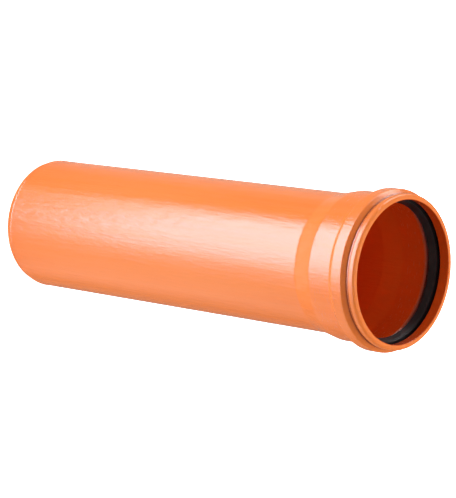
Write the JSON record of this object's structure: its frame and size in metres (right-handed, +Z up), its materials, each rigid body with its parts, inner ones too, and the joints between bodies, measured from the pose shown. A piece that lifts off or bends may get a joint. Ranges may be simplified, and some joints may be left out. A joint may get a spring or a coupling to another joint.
{
  "type": "sewer pipe",
  "caption": "Straight socketed plastic drain pipe with a beaded push-fit socket, a rubber lip ring in its groove and a bevelled spigot end.",
  "frame": {"origin": "middle of the spigot end, on the floor that it stands on", "axes": "+Z up along the pipe's axis, from the spigot end to the socket's mouth; X and Y are any two directions across it"},
  "size_m": [0.1832, 0.1832, 0.57],
  "materials": {
    "pvc": "smooth extruded orange-brown PVC-U with fine lengthwise die lines",
    "rubber": "smooth black moulded rubber"
  },
  "bodies": {
    "root": {"pipe": "pvc", "sealing_ring": "rubber"}
  },
  "joints": []
}
